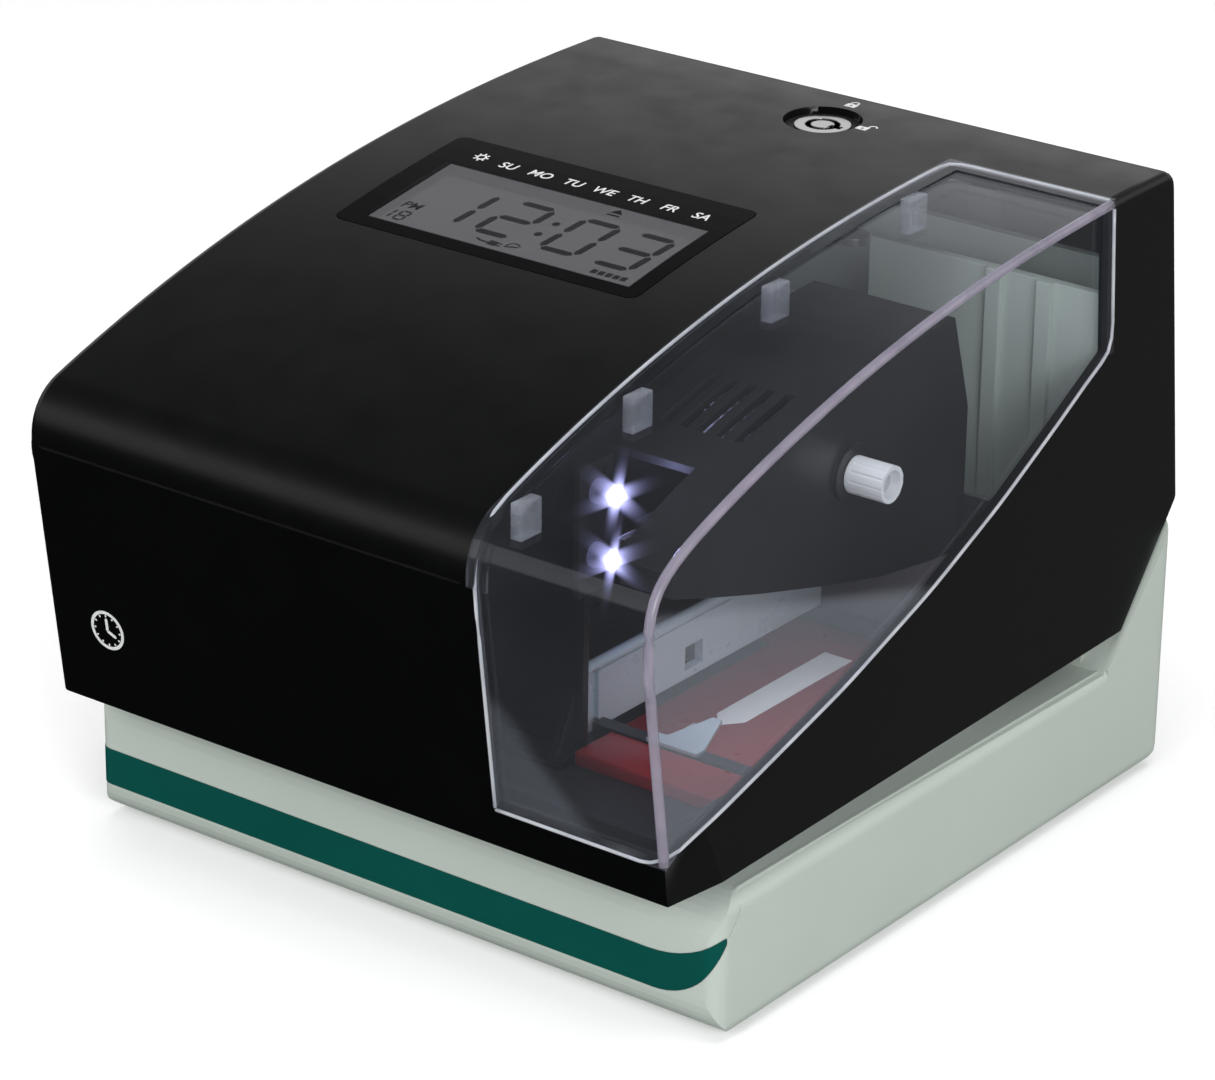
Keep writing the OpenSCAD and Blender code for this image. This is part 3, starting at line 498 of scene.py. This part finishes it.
def even_shine(piece):
    """Turns the normals of the top evenly from facet to facet, so its openings leave no creases."""
    mesh = bpy.data.meshes.new_from_object(piece.evaluated_get(bpy.context.evaluated_depsgraph_get()))
    kinks = [EVEN_FRONT - 0.0005]
    for y in sorted(v.co.y for v in mesh.vertices if v.co.x < -0.07 and EVEN_FRONT < v.co.y < EVEN_REAR):
        if y - kinks[-1] > 0.0006 and abs(top_lean(y).y - top_lean(y - 0.0024).y) > 0.002:
            kinks.append(y)
    kinks.append(EVEN_REAR + 0.001)
    steps = [(y, top_lean(y)) for y in kinks]
    normals = [corner.vector.copy() for corner in mesh.corner_normals]
    for face in mesh.polygons:
        if face.normal.z < 0.35:
            continue
        for loop in face.loop_indices:
            place = mesh.vertices[mesh.loops[loop].vertex_index].co
            if abs(normals[loop].x) > 0.05 or not EVEN_FRONT < place.y < EVEN_REAR:
                continue
            if abs(place.z - top_height(place.y)) < 2e-4:
                for (y0, first), (y1, second) in zip(steps, steps[1:]):
                    if y0 <= place.y <= y1:
                        normals[loop] = first.lerp(second, (place.y - y0) / (y1 - y0)).normalized()
    piece.modifiers.clear()
    piece.data = mesh
    mesh.normals_split_custom_set(normals)


LENS = surface_of("display_lens")
GLASS = surface_of("lcd_module")
COVER = surface_of("top_cover")
SHIFT = (-3.1, 4.1)                         # from the lens to the display below, along the view, in mm


def on_display(outlines):
    """Moves marks measured through the lens to the display glass below it."""
    return [[(x + SHIFT[0], y + SHIFT[1]) for x, y in outline] for outline in outlines]


TIME_FOOT, TIME_WIDTH, TIME_HEIGHT, TIME_STROKE = -28.2, 9.9, 16, 1.05
DATE_FOOT, DATE_WIDTH, DATE_HEIGHT, DATE_STROKE = -32.9, 2.5, 4.2, 0.35
NARROW = 0.1                                # width of a figure that is a single upright
LEGEND_FOOT, LEGEND_SIZE = 0.3, 4.1
SUN_X, SUN_Y = -54.4, 2.5


def add_markings():
    """What the display shows and the legend above it. Places are in mm on the lens, seen from above."""
    figures = digit("1", -38.8, TIME_FOOT, NARROW, TIME_HEIGHT, TIME_STROKE)
    figures += digit("2", -32.2, TIME_FOOT, TIME_WIDTH, TIME_HEIGHT, TIME_STROKE)
    figures += [disc(-17.2, -23.4, 1.0), disc(-16.6, -17.4, 1.0)]
    figures += digit("0", -13.1, TIME_FOOT, TIME_WIDTH, TIME_HEIGHT, TIME_STROKE)
    figures += digit("3", 2.5, TIME_FOOT, TIME_WIDTH, TIME_HEIGHT, TIME_STROKE)
    printed("display_time", on_display(figures), GLASS, "base", DARK_INK, lift=0.03)
    small = digit("1", -55.0, DATE_FOOT, NARROW, DATE_HEIGHT, DATE_STROKE)
    small += digit("8", -53.2, DATE_FOOT, DATE_WIDTH, DATE_HEIGHT, DATE_STROKE)
    printed("display_date", on_display(small), GLASS, "base", DARK_INK, lift=0.03)
    day_pointer = [[(-9.3, -6.6), (-5.7, -6.6), (-7.5, -4.6)],
                   [(-9.3, -7.9), (-5.7, -7.9), (-5.7, -7.3), (-9.3, -7.3)]]
    plug = [bar(-29, -31.4, -27, -32.2, 0.28), bar(-27.2, -32.2, -25, -32, 0.28), bar(-20, -32, -17, -31, 0.28)]
    plug += [[(-25, -33), (-22.5, -33), (-22.5, -31), (-25, -31)]]
    plug += [bar(-22.5, -32.5, -21.2, -32.5, 0.25), bar(-22.5, -31.5, -21.2, -31.5, 0.25)]
    plug += ring(-18.4, -31.6, 2.0, 1.6, 30, 200, 12)
    ribbon_blocks = [[(x, -33.1), (x + 1.6, -33.1), (x + 1.6, -31.3), (x, -31.3)]
                     for x in (5.0, 7.1, 9.2, 11.3, 13.4)]
    printed("display_marks", on_display(day_pointer + plug + ribbon_blocks), GLASS, "base", DARK_INK, lift=0.03)
    words = (("SU", -45.7), ("MO", -36.0), ("TU", -26.3), ("WE", -17.2), ("TH", -7.6), ("FR", 1.8),
             ("SA", 10.9))
    lettering("display_half", [("PM", -52.9 + SHIFT[0], -27.0 + SHIFT[1])], 4.2, GLASS, "base", DARK_INK, 0.1)
    lettering("legend", [(word, x, LEGEND_FOOT) for word, x in words], LEGEND_SIZE, LENS, "cover", WHITE_INK)
    sun = ring(SUN_X, SUN_Y, 1.35, 0.85, steps=18)
    for i in range(8):
        turn = math.radians(45 * i)
        near, far = (Vector((math.cos(turn), math.sin(turn))) * reach for reach in (1.3, 2.1))
        sun.append(bar(SUN_X + near.x, SUN_Y + near.y, SUN_X + far.x, SUN_Y + far.y, 0.25))
    printed("legend_sun", sun, LENS, "cover", WHITE_INK)


def padlock(name, x, y, is_open):
    """A small padlock mark: body, shackle and a keyhole left clear."""
    body = [[(x - 1.5, y - 2.2), (x - 0.35, y - 2.2), (x - 0.35, y), (x - 1.5, y)],
            [(x + 0.35, y - 2.2), (x + 1.5, y - 2.2), (x + 1.5, y), (x + 0.35, y)],
            [(x - 0.35, y - 0.7), (x + 0.35, y - 0.7), (x + 0.35, y), (x - 0.35, y)],
            [(x - 0.35, y - 2.2), (x + 0.35, y - 2.2), (x + 0.35, y - 1.6), (x - 0.35, y - 1.6)]]
    swing = 1.9 if is_open else 0.0
    arch = ring(x + swing, y + 0.7, 1.15, 0.7, 0, 180, 14)
    legs = [[(x + swing - 1.15, y), (x + swing - 0.7, y), (x + swing - 0.7, y + 0.7),
             (x + swing - 1.15, y + 0.7)]]
    if not is_open:
        legs.append([(x + 0.7, y), (x + 1.15, y), (x + 1.15, y + 0.7), (x + 0.7, y + 0.7)])
    printed(name, body + arch + legs, COVER, "cover", WHITE_INK)


def add_cover_marks():
    """The two padlocks by the lock and a plain clock face on the front, in mm."""
    padlock("mark_locked", -1.4, 81.0, False)
    padlock("mark_unlocked", 10.4, 68.6, True)
    x, z = -70, 61
    face = ring(x, z, 5.0, 4.2, steps=32)
    face += [bar(x, z - 0.4, x, z + 3.2, 0.4), bar(x - 0.3, z, x + 2.6, z - 1.4, 0.4)]
    face += [bar(x + 3.4 * math.cos(a), z + 3.4 * math.sin(a), x + 4.1 * math.cos(a),
                 z + 4.1 * math.sin(a), 0.22) for a in [math.radians(30 * i) for i in range(12)]]
    printed("mark_clock_face", face, COVER, "cover", WHITE_INK, toward=(0, 1, 0))


# ---- painted highlights along the edges of the clear window ----

def tube(name, path, radius, material, body, sides=10, ease=6):
    """A closed round bead along a path of points, in metres, eased into a smooth run."""
    for _ in range(ease):
        path = ([path[0]] + [(path[i - 1] + path[i] * 2 + path[i + 1]) / 4 for i in range(1, len(path) - 1)]
                + [path[-1]])
    verts, faces = [], []
    for i, point in enumerate(path):
        ahead = (path[min(i + 1, len(path) - 1)] - path[max(i - 1, 0)]).normalized()
        side = ahead.cross(UP)
        side = (side if side.length > 0.1 else ahead.cross(Vector((1, 0, 0)))).normalized()
        up = side.cross(ahead)
        for k in range(sides):
            turn = 2 * math.pi * k / sides
            verts.append(point + (side * math.cos(turn) + up * math.sin(turn)) * radius)
    for i in range(len(path) - 1):
        for k in range(sides):
            a, b = i * sides + k, i * sides + (k + 1) % sides
            faces.append((a, b, b + sides, a + sides))
    faces.append(list(reversed(range(sides))))
    last = (len(path) - 1) * sides
    faces.append([last + k for k in range(sides)])
    piece = new_piece(name, verts, faces, material, body)
    weld(piece.data, 1e-8)
    piece.data.shade_smooth()
    return piece


def side_point(tree, y, z):
    """Outermost point of a shell on the right at a given depth and height, in metres, or None."""
    return tree.ray_cast(Vector((0.3, y, z)), Vector((-1, 0, 0)))[0]


def top_point(tree, x, y):
    return tree.ray_cast(Vector((x, y, 0.3)), -UP)[0]


def front_point(tree, x, z):
    return tree.ray_cast(Vector((x, -0.3, z)), Vector((0, 1, 0)))[0]


def span(start, end, count):
    return [start + (end - start) * i / (count - 1) for i in range(count)]


def lowest_side(tree, y, low, high):
    """Height of the lower edge of the shell's side wall at one depth, by halving."""
    for _ in range(14):
        middle = (low + high) / 2
        hit = side_point(tree, y, middle)
        if hit is not None and hit.x > 0.075:
            high = middle
        else:
            low = middle
    return high


BEAD, FINE_BEAD = 0.0012, 0.00042           # radii of the heavy rim and of the thin ones
CORNER_X, CORNER_REACH = 0.0800, 0.0085     # middle of the front corner: its x, and its depth from the front
FOLD_LOW, FOLD_HIGH = 0.098, 0.1065         # where the upright rim starts and stops being straight


def crest_path(tree, left, y0, y1):
    """The long upper edge between the top and the side pane, from front to rear."""
    inward = Vector((-BEAD, 0, -BEAD)) * 0.6
    path = []
    for y in span(y0 + 0.010, y1 - 0.001, 42):
        height = top_point(tree, left + 0.02, y).z
        path.append(side_point(tree, y, height - 0.0006) + inward)
    return path


def corner_path(tree, low, high):
    """The upright edge between the front and the side pane, from below upwards."""
    path = []
    for z in [low, FOLD_LOW] + span(FOLD_HIGH, high, 6):
        point = front_point(tree, CORNER_X, z)
        ahead = point
        while ahead is not None and ahead.y - point.y < 0.0003:
            point = ahead
            ahead = front_point(tree, point.x + 0.0001, z)
        path.append(point + Vector((-BEAD, BEAD, 0)) * 0.5)
    return [path[0].lerp(path[1], t) for t in span(0, 1, 14)] + path[2:]


def lower_path(tree, left, y0, y1, z0, crest_end):
    """The lower edge: along the front, round the corner, up the slope of the side pane and up its rear end."""
    path = [front_point(tree, x, z0 + 0.0004) for x in span(left + 0.002, CORNER_X + 0.0005, 12)]
    centre = Vector((CORNER_X, y0 + CORNER_REACH, path[-1].z))
    for part in (0.1, 0.3, 0.5, 0.7, 0.9):
        angle = math.radians(-90 + 90 * part)
        outward = Vector((math.cos(angle), math.sin(angle), 0))
        hit = tree.ray_cast(centre + outward * 0.03, -outward)[0]
        if hit is not None:
            path.append(hit)
    for y in span(y0 + 0.0088, y1 - 0.0008, 48):
        height = lowest_side(tree, y, z0 - 0.004, 0.128)
        path.append(side_point(tree, y, height + 0.0001))
    return path + [side_point(tree, y1 - 0.0006, z) for z in span(path[-1].z + 0.003, crest_end.z - 0.001, 8)]


def flange_path(tree, left, y0, y1, z0, crest_end):
    """The edge that lies against the cover: up the front, over the top and along the rear end."""
    path = [front_point(tree, left + 0.0018, z) for z in span(z0 + 0.001, 0.104, 10)]
    for y in span(y0 + 0.0005, y1 - 0.001, 44):
        hit = top_point(tree, left + 0.0006, y)
        if hit is not None and hit.z > 0.104:
            path.append(hit - UP * FINE_BEAD * 0.9)
    return path + [top_point(tree, x, y1 - 0.0007) - UP * FINE_BEAD
                   for x in span(left + 0.002, crest_end.x - 0.0005, 8)]


def add_window_edges():
    tree = surface_of("window_cover")
    (left, y0, z0), (_, y1, _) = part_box("window_cover")
    crest = crest_path(tree, left, y0, y1)
    corner = corner_path(tree, z0 + 0.001, crest[0].z - 0.001)
    low = lower_path(tree, left, y0, y1, z0, crest[-1])
    flange = flange_path(tree, left, y0, y1, z0, crest[-1])
    # the beads' pale colour is a painted highlight on the window's edges
    tube("window_corner_bead", corner + crest, BEAD, SOFT_EDGE, "cover", ease=12)
    tube("window_lower_bead", low, FINE_BEAD, PALE_EDGE, "cover", sides=8, ease=2)
    tube("window_flange_bead", flange, FINE_BEAD, PALE_EDGE, "cover", sides=8, ease=2)


# ---- small parts of the inside ----

def block(name, low, high, width, material, body):
    """A closed box between two corners, in metres, with rounded edges."""
    mesh = bpy.data.meshes.new(name)
    shape = bmesh.new()
    bmesh.ops.create_cube(shape, size=1.0)
    for vertex in shape.verts:
        vertex.co = Vector([(a + b) / 2 + c * (b - a) for a, b, c in zip(low, high, vertex.co)])
    bmesh.ops.bevel(shape, geom=list(shape.edges), offset=width, segments=3, profile=0.5, affect="EDGES")
    shape.to_mesh(mesh)
    shape.free()
    mesh.shade_smooth()
    mesh.set_sharp_from_angle(angle=math.radians(40))
    mesh.materials.append(material)
    piece = bpy.data.objects.new(name, mesh)
    bpy.context.scene.collection.objects.link(piece)
    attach(piece, body)
    return piece


TAB_DEPTHS = (-0.106, -0.067, -0.016, 0.039)


def add_window_tabs():
    """The clips under the top edge of the window, drawn pale with a painted highlight like its rims."""
    tree = surface_of("window_cover")
    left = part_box("window_cover")[0].x
    for index, y in enumerate(TAB_DEPTHS):
        top = top_point(tree, left + 0.004, y).z
        low = (left + 0.00245, y - 0.0036, top - 0.0104)
        high = (left + 0.0056, y + 0.0036, top - 0.0019)
        block("window_tab_%d" % index, low, high, 0.0004, CLIP_EDGE, "cover")


def add_red_guide():
    """The red sheet guide along the front of the mechanism, between the front post and the right wall."""
    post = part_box("front_post")
    deck = post[0].z
    low = (post[1].x + 0.0006, post[0].y + 0.0042, deck + 0.0001)
    high = (0.0772, -0.0642, deck + 0.0037)
    block("red_guide", low, high, 0.0006, LOOKS["red_plastic"], "base")


WIRE_RADIUS, WIRE_PITCH = 0.0006, 0.00135


def add_wires():
    """Four wires from the power board up the column to the main board, with a plug at each end."""
    low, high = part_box("cable_harness")
    middle_x = (low.x + high.x) / 2 + 0.001
    back, front, foot, top = high.y - 0.004, low.y + 0.003, low.z, 0.056
    corner = 0.006
    bend = [(back, foot + 0.004), (back, foot + 0.016), (back, top - corner), (back - 0.002, top - 0.002),
            (back - corner, top), (front + corner, top), (front + 0.002, top - 0.0012), (front, top - 0.003)]
    colours = (("wire_red", (0.30, 0.01, 0.01)), ("wire_black", (0.012, 0.012, 0.014)),
               ("wire_white", (0.55, 0.55, 0.53)), ("wire_blue", (0.02, 0.06, 0.25)))
    for index, (name, colour) in enumerate(colours):
        across = middle_x + (index - 1.5) * WIRE_PITCH
        path = [Vector((across, y, z)) for y, z in bend]
        full = [path[i].lerp(path[i + 1], t / 5) for i in range(len(path) - 1) for t in range(5)] + [path[-1]]
        piece = tube(name, full, WIRE_RADIUS, finish(name, colour, 0.35, grain=1500), "base", sides=8, ease=3)
        if index == 0:
            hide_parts("cable_harness")
    plug = finish("plug_body", (0.62, 0.60, 0.52), 0.4, grain=1800)
    left, right = middle_x - 0.004, middle_x + 0.004
    block("plug_low", (left, back - 0.004, foot + 0.0001), (right, back + 0.0038, foot + 0.005), 0.0003, plug,
          "base")
    block("plug_high", (left, front - 0.0025, 0.0517), (right, front + 0.002, 0.0545), 0.0003, plug, "base")


rounded_cover()
add_markings()
add_cover_marks()
add_window_edges()
add_window_tabs()
add_red_guide()
add_wires()


# ---- studio ----

CAMERA_PLACE = (0.6155, -0.8355, 0.5096)
AZIMUTH, ELEVATION, ROLL = 36.98, 23.244, 0.754      # degrees: from the front towards +X, upwards, and tilt
LENS_LENGTH, SENSOR_WIDTH = 140.77, 36.0


def set_camera():
    """The photo's viewpoint."""
    azimuth, elevation, roll = (math.radians(angle) for angle in (AZIMUTH, ELEVATION, ROLL))
    back = Vector((math.sin(azimuth) * math.cos(elevation), -math.cos(azimuth) * math.cos(elevation),
                   math.sin(elevation)))
    right = (-back).cross(Vector((0, 0, 1))).normalized()
    up = right.cross(-back)
    turned_right = right * math.cos(roll) + up * math.sin(roll)
    turned_up = up * math.cos(roll) - right * math.sin(roll)
    axes = Matrix((turned_right, turned_up, back)).transposed().to_4x4()
    data = bpy.data.cameras.new("camera")
    data.sensor_width = SENSOR_WIDTH
    data.lens = LENS_LENGTH
    camera = bpy.data.objects.new("camera", data)
    camera.matrix_world = Matrix.Translation(CAMERA_PLACE) @ axes
    bpy.context.scene.collection.objects.link(camera)
    bpy.context.scene.camera = camera


def add_light(name, place, size, power, target=(0, 0, 0.05), colour=(1, 1, 1)):
    data = bpy.data.lights.new(name, "AREA")
    data.shape = "RECTANGLE"
    data.size, data.size_y = size
    data.energy = power
    data.color = colour
    light = bpy.data.objects.new(name, data)
    light.location = place
    light.rotation_euler = (Vector(target) - Vector(place)).to_track_quat("-Z", "Y").to_euler()
    bpy.context.scene.collection.objects.link(light)
    return light


def add_inner_lights():
    """A faint light over the card table and one by each lamp, none of them seen directly."""
    lights = [add_light("over_table", (0.060, -0.020, 0.071), (0.02, 0.08), 0.016, (0.060, -0.020, 0.0))]
    low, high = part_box("lamps")
    for height in (low.z + 0.002, high.z - 0.002):
        target = (high.x + 0.02, low.y + 0.03, height - 0.01)
        lights.append(add_light("lamp_spill", (high.x + 0.003, low.y, height), (0.004, 0.004), 0.006, target,
                                (0.55, 0.55, 1.0)))
    for light in lights:
        light.visible_camera = False
        light.visible_glossy = False


def set_floor():
    """A pale plain floor that is whiter to the camera than to the object, so it throws less light upwards."""
    side = 6.0
    mesh = bpy.data.meshes.new("floor")
    mesh.from_pydata([(x * side, y * side, 0) for x, y in ((-1, -1), (1, -1), (1, 1), (-1, 1))], [],
                     [(0, 1, 2, 3)])
    floor = bpy.data.objects.new("floor", mesh)
    bpy.context.scene.collection.objects.link(floor)
    look = Look("floor")
    tone = look.mix(look.noise(3.0), (0.90, 0.90, 0.90, 1), (0.93, 0.93, 0.93, 1))
    seen = look.add("LightPath").outputs["Is Camera Ray"]
    tone = look.mix(seen, (0.55, 0.56, 0.56, 1), tone)
    matte = look.add("BsdfDiffuse", Color=tone, Roughness=0.5).outputs["BSDF"]
    lift = look.add("Emission", Color=(1, 1, 1, 1), Strength=0.16).outputs["Emission"]
    both = look.tree.nodes.new("ShaderNodeAddShader")
    look.tree.links.new(matte, both.inputs[0])
    look.tree.links.new(lift, both.inputs[1])
    mesh.materials.append(look.output(both.outputs["Shader"]))
    floor.visible_glossy = False


SKY_STOPS = ((0.0, 0.004), (0.49, 0.01), (0.52, 0.50), (0.69, 0.72), (0.75, 0.34), (0.81, 0.07), (1.0, 0.02))
EVEN_LIGHT = 0.33
FLOOR_GLOW, FLOOR_SIDE = 0.12, (0.6, 0.75, 0)


def set_world():
    """White to the camera, a soft bright band near the horizon for reflections, even light for the rest."""
    world = bpy.data.worlds.new("studio")
    world.use_nodes = True
    bpy.context.scene.world = world
    tree = world.node_tree
    tree.nodes.clear()

    def add(kind, values, **props):
        """A node, with values or links for its inputs by name or place."""
        node = tree.nodes.new("ShaderNode" + kind)
        for key, value in props.items():
            setattr(node, key, value)
        for key, value in values.items():
            if isinstance(value, bpy.types.NodeSocket):
                tree.links.new(value, node.inputs[key])
            else:
                node.inputs[key].default_value = value
        return node

    ray = add("LightPath", {})
    toward = add("TexCoord", {}).outputs["Generated"]
    height = add("SeparateXYZ", {0: toward}).outputs["Z"]
    ramp = add("ValToRGB", {"Fac": add("MapRange", {"Value": height, "From Min": -1.0}).outputs["Result"]})
    for place, value in SKY_STOPS[2:]:
        ramp.color_ramp.elements.new(place)
    for element, (place, value) in zip(ramp.color_ramp.elements, SKY_STOPS):
        element.position = place
        element.color = (value, value, value, 1)
    across = add("VectorMath", {0: toward, 1: FLOOR_SIDE}, operation="DOT_PRODUCT").outputs["Value"]
    near_side = add("MapRange", {"Value": across, "From Min": 0.1, "To Max": FLOOR_GLOW}).outputs["Result"]
    below = add("Math", {0: height, 1: 0.0}, operation="LESS_THAN").outputs[0]
    floor_light = add("Math", {0: below, 1: near_side}, operation="MULTIPLY").outputs[0]
    mirrored = add("MixRGB", {"Fac": 1.0, "Color1": ramp.outputs["Color"], "Color2": floor_light},
                   blend_type="ADD").outputs["Color"]
    lit = add("MixRGB", {"Fac": ray.outputs["Is Glossy Ray"], "Color1": (EVEN_LIGHT, EVEN_LIGHT, EVEN_LIGHT, 1),
                         "Color2": mirrored}).outputs["Color"]
    seen = add("MixRGB", {"Fac": ray.outputs["Is Camera Ray"], "Color1": lit, "Color2": (1, 1, 1, 1)})
    background = add("Background", {"Color": seen.outputs["Color"]})
    add("OutputWorld", {"Surface": background.outputs["Background"]})


def set_glare():
    """Short rays round the lit lamps, as a lens gives; only light far above white takes part."""
    scene = bpy.context.scene
    scene.use_nodes = True
    tree = scene.node_tree
    tree.nodes.clear()
    layers = tree.nodes.new("CompositorNodeRLayers")
    glare = tree.nodes.new("CompositorNodeGlare")
    out = tree.nodes.new("CompositorNodeComposite")
    glare.glare_type = "STREAKS"
    glare.quality = "HIGH"
    for key, value in (("Threshold", 6.0), ("Strength", 0.5), ("Streaks", 6), ("Streaks Angle", 0.35),
                       ("Fade", 0.86), ("Iterations", 3), ("Color Modulation", 0.1), ("Smoothness", 0.0)):
        glare.inputs[key].default_value = value
    tree.links.new(layers.outputs["Image"], glare.inputs["Image"])
    tree.links.new(glare.outputs["Image"], out.inputs["Image"])


set_camera()
set_floor()
set_world()
add_light("overhead", (0.1, -0.1, 1.5), (1.3, 1.3), 14.0).visible_glossy = False
add_light("front_box", (-0.35, -1.3, 0.75), (0.9, 0.7), 6.2).visible_glossy = False
add_light("side_box", (1.15, -0.75, 0.6), (0.8, 0.6), 8.5)
add_inner_lights()
set_glare()
bpy.context.scene.view_settings.view_transform = "Standard"
